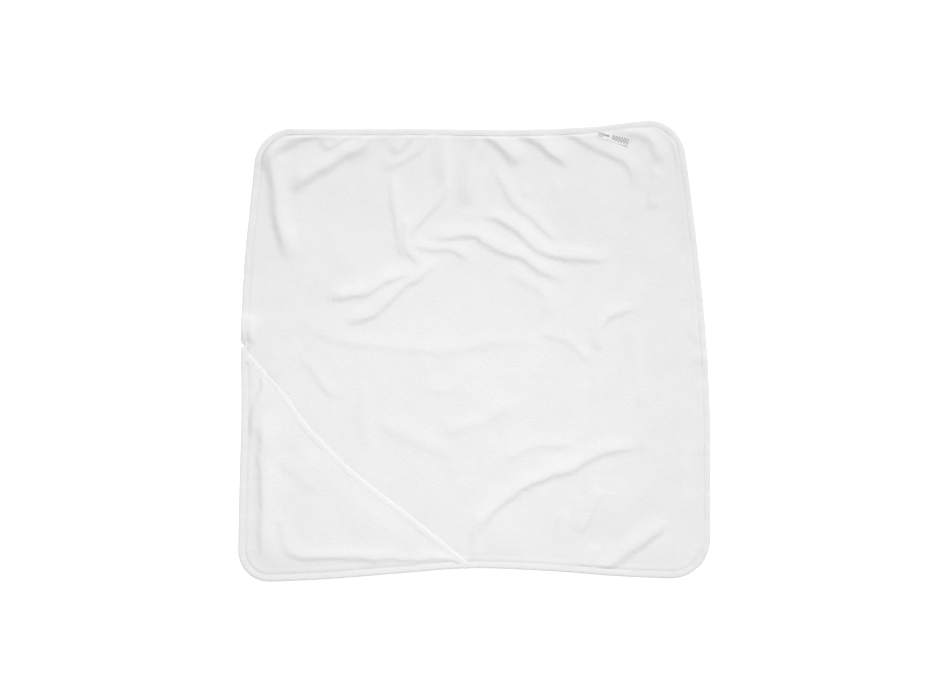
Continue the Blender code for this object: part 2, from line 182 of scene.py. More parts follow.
HOOD_CREASES = (
    (((-345, -30), (-347, -60), (-353, -78), (-361, -94), (-366, -112), (-370, -146)), (3.2, 14, 5.6)),
    (((-347, -90), (-349, -150), (-349, -200), (-347, -250), (-348, -300), (-350, -352)), (4.4, 22, 8.0)),
    (((-322, -322), (-302, -331), (-262, -337), (-205, -337), (-110, -340)), (2.2, 14, 6.0)),
    (((-322, -262), (-314, -296), (-304, -336)), SOFT),
    (((-150, -341), (-100, -340), (-60, -340), (-10, -342)), (1.1, 9, 4.0)),
    (((-322, -176), (-290, -205), (-258, -234)), (0.9, 15, 8.0)),
)
# (x, y, height, half width along x, half width along y), in mm: broad swells of the cloth, and small knobs
SWELLS = (
    (-300, 300, 1.6, 45, 45), (-120, 250, 1.2, 60, 45), (190, 240, 1.6, 60, 60), (81, 259, 1.4, 9, 10),
    (133, 262, 1.4, 8, 14), (180, -240, 1.4, 90, 45), (-60, -40, 0.6, 160, 90), (280, -60, 0.8, 60, 120),
    (-250, 160, 0.8, 80, 80), (-368, 39, 2.4, 26, 26), (364, -12, 1.6, 12, 12), (60, -310, 1.2, 50, 35),
    (310, -330, 1.2, 35, 25), (-374, -16, 1.6, 12, 9),
)
KNOBS = ((-371, 40, 2.5, 17, 18),)


# ------------ curves and noise

def smooth(t):
    t = np.clip(t, 0.0, 1.0)
    return t * t * (3 - 2 * t)


def through(points, steps, closed=False):
    """A smooth curve through these points, as steps points to each stretch."""
    p = np.asarray(points, float)
    if closed:
        p = np.vstack([p[-1], p, p[:2]])
    else:
        p = np.vstack([2 * p[0] - p[1], p, 2 * p[-1] - p[-2]])
    t = (np.arange(steps) / steps)[:, None]
    run = [
        0.5 * (2 * b + (c - a) * t + (2 * a - 5 * b + 4 * c - d) * t**2 + (3 * b - a - 3 * c + d) * t**3)
        for a, b, c, d in zip(p[:-3], p[1:-2], p[2:-1], p[3:])
    ]
    run = np.vstack(run)
    return run if closed else np.vstack([run, p[-2]])


def lengths(run):
    """How far along the run each of its points is."""
    return np.concatenate([[0.0], np.cumsum(np.linalg.norm(np.diff(run, axis=0), axis=1))])


def spaced(run, count):
    """count points at even distances along the run, its ends included."""
    along = lengths(run)
    at = np.linspace(0, along[-1], count)
    return np.stack([np.interp(at, along, run[:, k]) for k in range(run.shape[1])], axis=1)


def noise(x, y, size, seed):
    """Smooth noise from -1 to 1 with bumps of about this size."""
    table = np.random.RandomState(seed).uniform(-1, 1, (64, 64))
    x, y = np.asarray(x) / size + 31.7, np.asarray(y) / size + 17.3
    i, j = np.floor(x).astype(int), np.floor(y).astype(int)
    u, v = smooth(x - i), smooth(y - j)
    i, j, i1, j1 = i % 64, j % 64, (i + 1) % 64, (j + 1) % 64
    low = table[i, j] * (1 - u) + table[i1, j] * u
    high = table[i, j1] * (1 - u) + table[i1, j1] * u
    return low * (1 - v) + high * v


def crease(x, y, points, shape):
    """A ridge along a line: gentle on the line's left and steep on its right, dying out at its ends."""
    height, gentle, steep = (value * MM for value in shape)
    run = through(np.array(points) * MM, 5)
    made = np.zeros(x.shape)
    low, high = run.min(axis=0) - 2.6 * gentle, run.max(axis=0) + 2.6 * gentle
    close = (x > low[0]) & (x < high[0]) & (y > low[1]) & (y < high[1])
    x, y = x[close], y[close]
    a, along = run[:-1], np.diff(run, axis=0)
    size = np.linalg.norm(along, axis=1)
    before = lengths(run)[:-1]
    near = np.full(x.shape, np.inf)
    side, place = np.zeros(x.shape), np.zeros(x.shape)
    for k in range(len(a)):
        dx, dy = x - a[k, 0], y - a[k, 1]
        t = np.clip((dx * along[k, 0] + dy * along[k, 1]) / size[k] ** 2, 0, 1)
        gap = np.hypot(dx - t * along[k, 0], dy - t * along[k, 1])
        closer = gap < near
        near = np.where(closer, gap, near)
        side = np.where(closer, np.sign(along[k, 0] * dy - along[k, 1] * dx), side)
        place = np.where(closer, before[k] + t * size[k], place)
    total = lengths(run)[-1]
    fade = smooth(place / (0.2 * total)) * smooth((total - place) / (0.24 * total))
    off = near * side - 0.7 * steep
    made[close] = height * fade * np.exp(-((off / np.where(off > 0, gentle, steep)) ** 2))
    return made


# ------------ the towel's edge

def edge_loop():
    """The towel's outer edge, from the binding in the frame: counter-clockwise from the hood's corner."""
    points = np.array([v.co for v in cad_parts["edge_binding"].data.vertices])
    level = np.round(points[:, 2], 5)
    reach = {z: np.hypot(*points[level == z, :2].T).mean() for z in np.unique(level)}
    outer = points[level == max(reach, key=reach.get), :2]
    outer = np.unique(np.round(outer, 6), axis=0)
    outer = outer[np.argsort(np.arctan2(outer[:, 1], outer[:, 0]))]
    run = through(outer, 10, closed=True)
    first = np.argmin(run @ np.array((1.0, 1.0)))
    return np.roll(run, -first, axis=0)


def edge_sides():
    """The edge as four runs of evenly spaced points: bottom, right, top and left, from corner to corner."""
    run = edge_loop()
    turns = [0] + [int(np.argmax(run @ np.array(way))) for way in ((1.0, -1.0), (1.0, 1.0), (-1.0, 1.0))]
    turns.append(len(run))
    run = np.vstack([run, run[:1]])
    return [spaced(run[a:b + 1], ACROSS + 1) for a, b in zip(turns, turns[1:])]


ACROSS = UNDER_STEP * round(SIDE_LENGTH / SPACING / UNDER_STEP)
SIDES = edge_sides()
EDGE = np.vstack([side[:-1] for side in SIDES])
STATIONS = len(EDGE)


def inward(loop):
    """The unit normals of a closed loop of points, towards its inside."""
    along = np.roll(loop, -1, axis=0) - np.roll(loop, 1, axis=0)
    along /= np.linalg.norm(along, axis=1)[:, None]
    return np.stack([-along[:, 1], along[:, 0]], axis=1)


INWARD = inward(EDGE)
PINCHED = np.where(EDGE[:, 0] < 0, PINCH[1] * np.exp(-(((EDGE[:, 1] - PINCH[0]) / PINCH[2]) ** 2)), 0.0)


def at_inset(inset):
    """The loop of points at this inset from the towel's edge: one number, or one for each station."""
    reach = inset + PINCHED * np.clip(1 - inset / 0.03, 0, 1)
    return EDGE + INWARD * reach[:, None]


EDGE_TREE = KDTree(STATIONS)
for station, (edge_x, edge_y) in enumerate(EDGE):
    EDGE_TREE.insert((edge_x, edge_y, 0.0), station)
EDGE_TREE.balance()
FOUND = {}


def station_of(x, y):
    """The nearest edge station of each point, and how far inside the edge the point is."""
    x, y = np.atleast_1d(x), np.atleast_1d(y)
    key = (x.tobytes(), y.tobytes())
    if key not in FOUND:
        nearest = np.array([EDGE_TREE.find((a, b, 0.0))[1] for a, b in zip(x.tolist(), y.tolist())], int)
        normal = INWARD[nearest]
        depth = (x - EDGE[nearest, 0]) * normal[:, 0] + (y - EDGE[nearest, 1]) * normal[:, 1]
        FOUND[key] = nearest, depth
    return FOUND[key]


# ------------ the hood's mouth

MOUTH_LENGTH = np.linalg.norm(MOUTH_END - MOUTH_START)
MOUTH_ALONG = (MOUTH_END - MOUTH_START) / MOUTH_LENGTH
MOUTH_INTO = np.array((MOUTH_ALONG[1], -MOUTH_ALONG[0]))
MOUTH_LINE = through(MOUTH_BOWS, 12)


def mouth_bow(share):
    """How far the mouth bows towards the corner at this share of its length."""
    return np.interp(share, MOUTH_LINE[:, 0], MOUTH_LINE[:, 1])


def mouth_depth(x, y):
    """How far a point lies inside the hood's mouth, towards the corner."""
    dx, dy = x - MOUTH_START[0], y - MOUTH_START[1]
    share = (dx * MOUTH_ALONG[0] + dy * MOUTH_ALONG[1]) / MOUTH_LENGTH
    return dx * MOUTH_INTO[0] + dy * MOUTH_INTO[1] - mouth_bow(share)


def mouth_run(depth, inset):
    """Points at this depth along the mouth, from the left edge to the bottom edge at this inset."""
    share = np.linspace(-0.05, 1.05, 1400)
    reach = depth + mouth_bow(share)
    run = MOUTH_START + MOUTH_ALONG * (share * MOUTH_LENGTH)[:, None] + MOUTH_INTO * reach[:, None]
    _, inside = station_of(run[:, 0], run[:, 1])
    kept = np.nonzero(inside > inset)[0]
    return run[kept[0]:kept[-1] + 1]


# ------------ heights

def wandering(x, y):
    """The points moved about a little, so that creases that are evaluated there wander as in real cloth."""
    dx = 1.9 * noise(x, y, 0.024, 51) + 0.7 * noise(x, y, 0.009, 52)
    dy = 1.9 * noise(x, y, 0.024, 53) + 0.7 * noise(x, y, 0.009, 54)
    return x + dx * MM, y + dy * MM


def creases(x, y, table):
    """The height of all creases of a table together."""
    wx, wy = wandering(x, y)
    height = np.zeros(x.shape)
    for points, shape in table:
        height += crease(wx, wy, points, shape)
    return CREASE_LIMIT * np.tanh(height / CREASE_LIMIT)


def swells(x, y):
    """The broad and small unevenness of the towel as it lies."""
    height = 0.5 * MM * (1 + noise(x, y, 0.075, 3)) + 0.22 * MM * noise(x, y, 0.026, 5)
    height += 0.08 * MM * noise(x, y, 0.011, 8)
    for table, power in ((SWELLS, 1), (KNOBS, 2)):
        for cx, cy, tall, wide, long in table:
            away = ((x - cx * MM) / (wide * MM)) ** 2 + ((y - cy * MM) / (long * MM)) ** 2
            height += tall * MM * np.exp(-(away**power))
    return LIFT_SOFTNESS * np.logaddexp(0, height / LIFT_SOFTNESS)


def pucker(station, depth, seed):
    """Small gathers that run in from the tape."""
    place = station * SPACING
    ripple = noise(place, 0 * place, 0.013, seed) + 0.6 * noise(place, 0 * place, 0.034, seed + 1)
    return 0.55 * MM * ripple * np.exp(-np.abs(depth - LEVEL_INSET) / 0.016)


def levelled(x, y):
    """The points, moved in to LEVEL_INSET where they are nearer the edge: the tape holds the cloth level."""
    nearest, depth = station_of(x, y)
    move = np.clip(LEVEL_INSET - depth, 0, None)
    return x + INWARD[nearest, 0] * move, y + INWARD[nearest, 1] * move, nearest, depth


def lying(x, y):
    """How high the towel's own unevenness lifts it; the tape and the hood hold it down."""
    ix, iy, nearest, depth = levelled(x, y)
    free = TAPED_CREASE + (1 - TAPED_CREASE) * smooth((depth - CREASES_FROM) / RAMP)
    open_part = 1 - HOOD_PRESS * smooth(mouth_depth(ix, iy) / HOOD_PRESS_RAMP + 0.5)
    return (swells(ix, iy) + creases(ix, iy, TOWEL_CREASES) * free) * open_part, nearest, depth


def underside(x, y):
    """The height of the terry's underside."""
    relief, nearest, depth = lying(x, y)
    held = smooth((HELD_TO - depth) / HELD_RAMP)
    wave = np.clip(pucker(nearest, np.maximum(depth, LEVEL_INSET), PUCKER_SEED), -0.3 * MM, None)
    height = relief + UNDERSIDE + (TAPE_OVER - UNDERSIDE) * held + wave * (1 - held * 0.6) * 0.8
    over_label = smooth((CARE_HALF - np.abs(y - CARE_MIDDLE)) / 0.004) * smooth((CARE_REACH - depth) / 0.008)
    return np.maximum(height, CARE_ROOM * (over_label * (x < 0)))


def terry_top(x, y):
    """The height of the terry's front, which is pressed thin inside the edge tape."""
    _, depth = station_of(x, y)
    return underside(x, y) + PRESSED + (CLOTH - PRESSED) * smooth((depth - THICK_FROM) / RAMP)


def hood_heights(x, y):
    """The heights of the hood's two faces: it lies on the terry, and both tapes hold it down."""
    ix, iy, _, depth = levelled(x, y)
    own = creases(ix, iy, HOOD_CREASES)
    own += 0.35 * MM * (1 + noise(x, y, 0.06, 11)) + 0.2 * MM * (1 + noise(x, y, 0.024, 12))
    held = smooth((HOOD_HELD_TO - depth) / HOOD_HELD_RAMP)
    low = terry_top(x, y) + HOOD_LIFT + own * (1 - held)
    inside = np.minimum(depth - HOOD_THICK_FROM[0], mouth_depth(x, y) - HOOD_THICK_FROM[1])
    at_mouth = smooth((MOUTH_HELD_TO - mouth_depth(x, y)) / RAMP)
    low = low - at_mouth * (1 - held) * 0.6 * np.minimum(own, 1.0 * MM)
    return low, low + PRESSED + (CLOTH - PRESSED) * smooth(inside / HOOD_THICK_RAMP)


# ------------ meshes

def mesh_object(name, points, faces, material):
    mesh = bpy.data.meshes.new(name)
    mesh.from_pydata(points, [], faces)
    mesh.validate()
    mesh.materials.append(material)
    mesh.shade_smooth()
    made = bpy.data.objects.new(name, mesh)
    bpy.context.scene.collection.objects.link(made)
    return made


def grid_faces(rows, columns, first=0, flip=False):
    """The quads of a grid of rows x columns points."""
    i, j = np.meshgrid(np.arange(rows - 1), np.arange(columns - 1), indexing="ij")
    a = (first + i * columns + j).ravel()
    quads = np.stack([a, a + columns, a + columns + 1, a + 1], axis=1)
    return quads[:, ::-1] if flip else quads


def coons(bottom, right, top, left):
    """A grid of points between four runs, where bottom and top go right, and left and right go up."""
    u = np.linspace(0, 1, len(bottom))[:, None, None]
    v = np.linspace(0, 1, len(left))[None, :, None]
    across = (1 - v) * bottom[:, None] + v * top[:, None]
    up = (1 - u) * left[None] + u * right[None]
    corners = (
        (1 - u) * (1 - v) * bottom[0] + u * (1 - v) * bottom[-1] + (1 - u) * v * top[0] + u * v * top[-1]
    )
    return across + up - corners


def rim_order(rows, columns):
    """The indices round a grid, counter-clockwise from its first point."""
    return np.concatenate([
        np.arange(rows - 1) * columns,
        (rows - 1) * columns + np.arange(columns - 1),
        np.arange(rows - 1, 0, -1) * columns + columns - 1,
        np.arange(columns - 1, 0, -1),
    ])


def slab(name, flat, low, high, material, coarse):
    """A cloth: its top is the whole grid, and its underside takes every coarse-th point."""
    rows, columns = flat.shape[:2]
    x, y = flat[..., 0].ravel(), flat[..., 1].ravel()
    top = np.stack([x, y, high], axis=1)
    under = np.stack([x, y, low], axis=1).reshape(rows, columns, 3)[::coarse, ::coarse]
    under_rows, under_columns = under.shape[:2]
    faces = grid_faces(rows, columns).tolist()
    faces += grid_faces(under_rows, under_columns, first=len(top), flip=True).tolist()
    upper, lower = rim_order(rows, columns), rim_order(under_rows, under_columns) + len(top)
    for k in range(len(lower)):
        run = [int(upper[(k * coarse + n) % len(upper)]) for n in range(coarse + 1)]
        faces.append([*run, int(lower[(k + 1) % len(lower)]), int(lower[k])])
    points = np.vstack([top, under.reshape(-1, 3)])
    piece = mesh_object(name, points.tolist(), faces, material)
    joined_corners(piece)
    return piece


def joined_corners(piece):
    """Joins points in the same place, turns the faces out and keeps the edges of the cloth sharp."""
    shape = bmesh.new()
    shape.from_mesh(piece.data)
    bmesh.ops.remove_doubles(shape, verts=shape.verts, dist=1e-7)
    bmesh.ops.recalc_face_normals(shape, faces=shape.faces)
    for edge in shape.edges:
        edge.smooth = edge.calc_face_angle(0.0) < math.radians(50)
    shape.to_mesh(piece.data)
    shape.free()


def swept(name, rings, material, closed):
    """A tube through rings of points; an open one is capped."""
    count, sides = rings.shape[:2]
    faces = []
    for i in range(count if closed else count - 1):
        j = (i + 1) % count
        for k in range(sides):
            m = (k + 1) % sides
            faces.append([i * sides + k, i * sides + m, j * sides + m, j * sides + k])
    if not closed:
        faces.append(list(range(sides))[::-1])
        faces.append([(count - 1) * sides + k for k in range(sides)])
    return mesh_object(name, rings.reshape(-1, 3).tolist(), faces, material)


def stitches(name, places, ahead, face):
    """Short threads at these places, each pointing ahead, on the front (face 1) or the back (face -1)."""
    sides, rings = 6, 7
    t = np.linspace(-1, 1, rings)
    turn = np.arange(sides) / sides * 2 * math.pi
    points, faces = [], []
    up = np.array((0.0, 0.0, float(face)))
    for place, way in zip(places, ahead / np.linalg.norm(ahead, axis=1)[:, None]):
        across = np.cross(up, way)
        centre = place + way * (t * STITCH_LENGTH / 2)[:, None] - up * (STITCH_RADIUS * 2.2 * t**4)[:, None]
        fat = STITCH_RADIUS * (1 - 0.35 * t**4)
        beside, above = np.cos(turn) * fat[:, None], np.sin(turn) * fat[:, None]
        ring = across * beside[..., None] + up * above[..., None]
        first = len(points) * rings * sides
        points.append((centre[:, None] + ring).reshape(-1, 3))
        for i in range(rings - 1):
            for k in range(sides):
                m = (k + 1) % sides
                a, b = first + i * sides, first + (i + 1) * sides
                faces.append([a + k, a + m, b + m, b + k])
        faces.append([first + k for k in range(sides)][::-1])
        faces.append([first + (rings - 1) * sides + k for k in range(sides)])
    return mesh_object(name, np.vstack(points).tolist(), faces, THREAD)


# ------------ materials

def new_material(name, colour, roughness, sheen, slot):
    """A cloth-like material, with its nodes, links and shader."""
    made = bpy.data.materials.new(name)
    made.use_nodes = True
    shader = made.node_tree.nodes["Principled BSDF"]
    shader.inputs["Base Color"].default_value = (*colour, 1.0)
    shader.inputs["Roughness"].default_value = roughness
    shader.inputs["Sheen Weight"].default_value = sheen
    shader.inputs["Sheen Roughness"].default_value = 0.6
    shader.inputs["Specular IOR Level"].default_value = 0.2
    made["slot"] = slot
    return made, made.node_tree.nodes, made.node_tree.links, shader


def add(nodes, kind, **values):
    """A new node, with these inputs or settings."""
    node = nodes.new(kind)
    for key, value in values.items():
        if key in node.inputs:
            node.inputs[key].default_value = value
        else:
            setattr(node, key, value)
    return node


def tint(nodes, links, shader, source, dark, light):
    """The base colour goes from dark to light with this value."""
    ramp = add(nodes, "ShaderNodeValToRGB")
    ramp.color_ramp.elements[0].color = (*dark, 1.0)
    ramp.color_ramp.elements[1].color = (*light, 1.0)
    ramp.color_ramp.elements[0].position = 0.25
    ramp.color_ramp.elements[1].position = 0.75
    links.new(source, ramp.inputs["Fac"])
    links.new(ramp.outputs["Color"], shader.inputs["Base Color"])


def bumps(nodes, links, shader, layers):
    """Stacks bump layers of (value, strength, distance)."""
    last = None
    for value, strength, distance in layers:
        bump = add(nodes, "ShaderNodeBump", Strength=strength, Distance=distance)
        links.new(value, bump.inputs["Height"])
        if last:
            links.new(last.outputs["Normal"], bump.inputs["Normal"])
        last = bump
    links.new(last.outputs["Normal"], shader.inputs["Normal"])


def terry(name, dark, light, slot):
    """Looped terry: small round loops with a soft nap over them, and faint patches."""
    made, nodes, links, shader = new_material(name, light, 0.95, 0.2, slot)
    place = add(nodes, "ShaderNodeTexCoord").outputs["Object"]
    drift = add(nodes, "ShaderNodeTexNoise", Scale=240.0, Detail=2.0)
    links.new(place, drift.inputs["Vector"])
    loops = add(nodes, "ShaderNodeTexVoronoi", Scale=820.0, Randomness=0.85)
    links.new(place, loops.inputs["Vector"])
    nap = add(nodes, "ShaderNodeTexNoise", Scale=1900.0, Detail=3.0)
    links.new(place, nap.inputs["Vector"])
    patch = add(nodes, "ShaderNodeTexNoise", Scale=16.0, Detail=4.0, Roughness=0.6)
    links.new(place, patch.inputs["Vector"])
    tint(nodes, links, shader, patch.outputs["Fac"], dark, light)
    bumps(nodes, links, shader, (
        (drift.outputs["Fac"], 0.35, 0.0010),
        (loops.outputs["Distance"], 0.5, 0.0007),
        (nap.outputs["Fac"], 0.3, 0.0003),
    ))
    return made


def tape(name, dark, light, slot):
    """Fine knitted tape: small close knots, and a faint mottle."""
    made, nodes, links, shader = new_material(name, light, 0.85, 0.25, slot)
    place = add(nodes, "ShaderNodeTexCoord").outputs["Object"]
    knots = add(nodes, "ShaderNodeTexVoronoi", Scale=1300.0, Randomness=0.4)
    links.new(place, knots.inputs["Vector"])
    drift = add(nodes, "ShaderNodeTexNoise", Scale=160.0, Detail=3.0)
    links.new(place, drift.inputs["Vector"])
    tint(nodes, links, shader, drift.outputs["Fac"], dark, light)
    bumps(nodes, links, shader, (
        (drift.outputs["Fac"], 0.4, 0.0008),
        (knots.outputs["Distance"], 0.5, 0.0004),
    ))
    return made


def satin(name, colour, slot):
    """Woven satin ribbon: fine threads one way and finer ones across."""
    made, nodes, links, shader = new_material(name, colour, 0.42, 0.3, slot)
    shader.inputs["Anisotropic"].default_value = 0.4
    place = add(nodes, "ShaderNodeTexCoord").outputs["Object"]
    warp = add(nodes, "ShaderNodeTexWave", Scale=560.0, Distortion=0.6, wave_type="BANDS")
    warp.bands_direction = "X"
    weft = add(nodes, "ShaderNodeTexWave", Scale=420.0, Distortion=0.4, wave_type="BANDS")
    weft.bands_direction = "Y"
    shade = add(nodes, "ShaderNodeTexNoise", Scale=300.0, Detail=2.0)
    for node in (warp, weft, shade):
        links.new(place, node.inputs["Vector"])
    tint(nodes, links, shader, shade.outputs["Fac"], tuple(0.97 * c for c in colour), colour)
    bumps(nodes, links, shader, ((warp.outputs["Fac"], 0.3, 0.0002), (weft.outputs["Fac"], 0.2, 0.0002)))
    return made


def thread_material(name, colour, slot):
    """Twisted thread with a slight shine."""
    made, nodes, links, shader = new_material(name, colour, 0.55, 0.3, slot)
    place = add(nodes, "ShaderNodeTexCoord").outputs["Object"]
    twist = add(nodes, "ShaderNodeTexWave", Scale=900.0, Distortion=1.0, bands_direction="DIAGONAL")
    links.new(place, twist.inputs["Vector"])
    tint(nodes, links, shader, twist.outputs["Fac"], tuple(0.94 * c for c in colour), colour)
    bumps(nodes, links, shader, ((twist.outputs["Fac"], 0.4, 0.0002),))
    return made


TERRY = terry("white_terry", (0.735, 0.735, 0.742), (0.768, 0.768, 0.774), "terry")
HOOD_TERRY = terry("hood_terry", (0.748, 0.738, 0.740), (0.780, 0.771, 0.772), "hood_terry")
TAPE = tape("edge_tape", (0.728, 0.728, 0.738), (0.764, 0.764, 0.772), "binding_tape")
THREAD = thread_material("white_thread", (0.79, 0.79, 0.79), "thread")
LABEL = satin("label_satin", (0.765, 0.765, 0.775), "woven_label")
LABEL_MOTIF = thread_material("motif_thread", (0.24, 0.24, 0.25), "woven_label")
CARE = satin("care_satin", (0.87, 0.87, 0.87), "care_label")


# ------------ terry and edge tape

def make_terry():
    """The square of terry, from a grid between its four sides."""
    edge = at_inset(np.full(STATIONS, EDGE_INSET))
    n = ACROSS
    bottom = edge[:n + 1]
    right = edge[n:2 * n + 1]
    top = edge[2 * n:3 * n + 1][::-1]
    left = np.vstack([edge[3 * n:], edge[:1]])[::-1]
    flat = coons(bottom, right, top, left)
    x, y = flat[..., 0].ravel(), flat[..., 1].ravel()
    return slab("terry_cloth", flat, underside(x, y), terry_top(x, y), TERRY, UNDER_STEP)


def hood_share(points):
    """1 where an edge station is on one of the hood's legs, 0 elsewhere, with short slopes between."""
    depth = mouth_depth(points[:, 0], points[:, 1])
    return smooth((depth + 0.010) / 0.016)


def make_edge_tape():
    """The folded tape: round outside, with a crowned front, its edges turned onto the terry."""
    level = EDGE + INWARD * LEVEL_INSET
    base, _, _ = lying(level[:, 0], level[:, 1])
    place = np.arange(STATIONS) * SPACING
    swell = noise(place, 0 * place, 0.017, 31) * 0.25 * MM + noise(place, 0 * place, 0.05, 32) * 0.2 * MM
    base = np.maximum(base + 0.6 * pucker(np.arange(STATIONS), LEVEL_INSET, PUCKER_SEED), 0.05 * MM)
    front = base + TAPE_OVER + PRESSED + TAPE_WALL + 0.1 * MM + swell
    front = front + hood_share(level) * (PRESSED + HOOD_LIFT)
    sway = noise(place, 0 * place, 0.022, 33) * 0.35 * MM
    profile = (  # inset, share of the height, and what is added to it, in mm
        (9.4, 0, 0.05), (6.0, 0, 0.0), (2.4, 0, 0.0), (0.9, 0, 0.3), (0.1, 0, 1.1), (0.0, 0.5, 0.0),
        (0.1, 1, -1.1), (0.8, 1, -0.5), (2.2, 1, -0.12), (4.2, 1, 0.04), (6.4, 1, 0.0), (7.7, 1, -0.1),
        (8.5, 1, -0.22), (9.2, 1, -0.2), (9.9, 1, -0.28), (10.4, 1, -0.4), (10.4, 1, -0.5),
        (9.0, 1, -0.55), (2.6, 1, -0.6), (2.4, 0, 0.6), (9.2, 0, 0.5), (10.1, 0, 0.42), (10.1, 0, 0.2),
    )
    rings = []
    for inset, share, extra in profile:
        z = base + (front - base) * share + extra * MM
        rings.append(np.column_stack([at_inset(inset * MM + sway * (inset / 10)), z]))
    rings = np.stack(rings, axis=1)[:, ::-1]
    return swept("edge_tape", rings, TAPE, True), base, front


def along_edge(values, at):
    """Values of the edge stations at places counted in stations."""
    values = np.vstack([values, values[:1]])
    low = np.floor(at).astype(int)
    part = (at - low)[:, None]
    return values[low] * (1 - part) + values[low + 1] * part


def make_edge_stitches(base, front):
    """The stitches of the edge seam, on the front and on the back."""
    around = np.linalg.norm(np.roll(EDGE, -1, axis=0) - EDGE, axis=1).sum()
    count = round(around / STITCH_PITCH)
    at = np.arange(count) / count * STATIONS
    made = []
    for name, inset, z, face in (
        ("edge_needle_stitches", 8.5 * MM, front - 0.25 * MM, 1),
        ("edge_bobbin_stitches", 8.3 * MM, base + 0.32 * MM, -1),
    ):
        line = np.column_stack([at_inset(np.full(STATIONS, inset)), z + face * STITCH_RADIUS * 0.6])
        place = along_edge(line, at)
        ahead = along_edge(line, (at + 0.5) % STATIONS) - place
        made.append(stitches(name, place, ahead, face))
    return made


# ------------ hood

def hood_legs():
    """Each leg's line just inside the edge tape: (point, unit normal towards the hood's inside)."""
    legs = []
    inner = EDGE + INWARD * TAPE_WIDTH
    straight_parts = (((-0.40, -0.29), (-0.30, -0.05)), ((-0.29, -0.40), (-0.04, -0.30)))
    for low, high in straight_parts:
        on = inner[((inner > low) & (inner < high)).all(axis=1)]
        along = on[-1] - on[0]
        along = along / np.linalg.norm(along)
        normal = np.array((-along[1], along[0]))
        reach = ((on - on[0]) @ normal).max()
        legs.append((on[0] + normal * reach, normal))
    return legs


LEGS = hood_legs()


def from_leg(points, leg):
    """How far points are from a leg's line, towards the hood's inside."""
    point, normal = LEGS[leg]
    return (points - point) @ normal


def split_at_middle(run):
    """A run cut in two where it is as far from one leg as from the other, with that point in both."""
    apart = from_leg(run, 0) - from_leg(run, 1)
    k = int(np.nonzero(np.diff(np.sign(apart)))[0][0])
    t = apart[k] / (apart[k] - apart[k + 1])
    middle = run[k] * (1 - t) + run[k + 1] * t
    return np.vstack([run[:k + 1], middle]), np.vstack([middle, run[k + 1:]])


MIDDLE = split_at_middle(mouth_run(0.0, 0.0))[0][-1]  # of the hood's mouth


def bend_with_hood(piece):
    """Bakes the piece's placement into its mesh."""
    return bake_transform(piece)


def make_hood_panel():
    """The hood's terry in two halves that meet on the line from its corner to the middle of its mouth."""
    edge = at_inset(np.full(STATIONS, HOOD_INSET))
    inside = mouth_depth(edge[:, 0], edge[:, 1]) > MOUTH_CLOTH_INSET
    order = np.roll(np.arange(STATIONS), ACROSS)  # the left side comes before the bottom one
    run = edge[order][inside[order]]
    left_leg, bottom_leg = split_at_middle(run)
    mouth_left, mouth_right = split_at_middle(mouth_run(MOUTH_CLOTH_INSET, HOOD_INSET))
    made = []
    for leg, (name, side, mouth) in enumerate((
        ("hood_cloth_left", left_leg[::-1], mouth_left),
        ("hood_cloth_right", bottom_leg, mouth_right[::-1]),
    )):
        corner, end, middle = side[0], side[-1], mouth[-1]
        rows = round(lengths(side)[-1] / SPACING)
        columns = round(lengths(mouth)[-1] / SPACING)
        side, mouth = spaced(side, rows), spaced(np.vstack([end, mouth[1:]]), columns)
        centre = spaced(np.vstack([corner, middle]), rows)
        here = np.tile(corner, (columns, 1))
        flat = coons(side, mouth, centre, here)
        if leg == 0:
            flat = flat[:, ::-1]
        low, high = hood_heights(flat[..., 0].ravel(), flat[..., 1].ravel())
        piece = slab(name, flat, low, high, HOOD_TERRY, 1)
        soften_split(piece)
        made.append(bend_with_hood(piece))
    return made


def soften_split(piece):
    """Takes the normals of the hood's front from its heights, so that its two halves look like one."""
    mesh = piece.data
    points = np.array([v.co for v in mesh.vertices])
    step = 1.5 * MM
    slopes = []
    for way in ((step, 0.0), (0.0, step)):
        ahead = hood_heights(points[:, 0] + way[0], points[:, 1] + way[1])[1]
        behind = hood_heights(points[:, 0] - way[0], points[:, 1] - way[1])[1]
        slopes.append((ahead - behind) / (2 * step))
    up = np.stack([-slopes[0], -slopes[1], np.ones(len(points))], axis=1)
    up /= np.linalg.norm(up, axis=1)[:, None]
    normals = [corner.vector.copy() for corner in mesh.corner_normals]
    for face in mesh.polygons:
        if face.normal.z > 0.5:
            for corner in face.loop_indices:
                normals[corner] = Vector(up[mesh.loops[corner].vertex_index])
    mesh.normals_split_custom_set(normals)


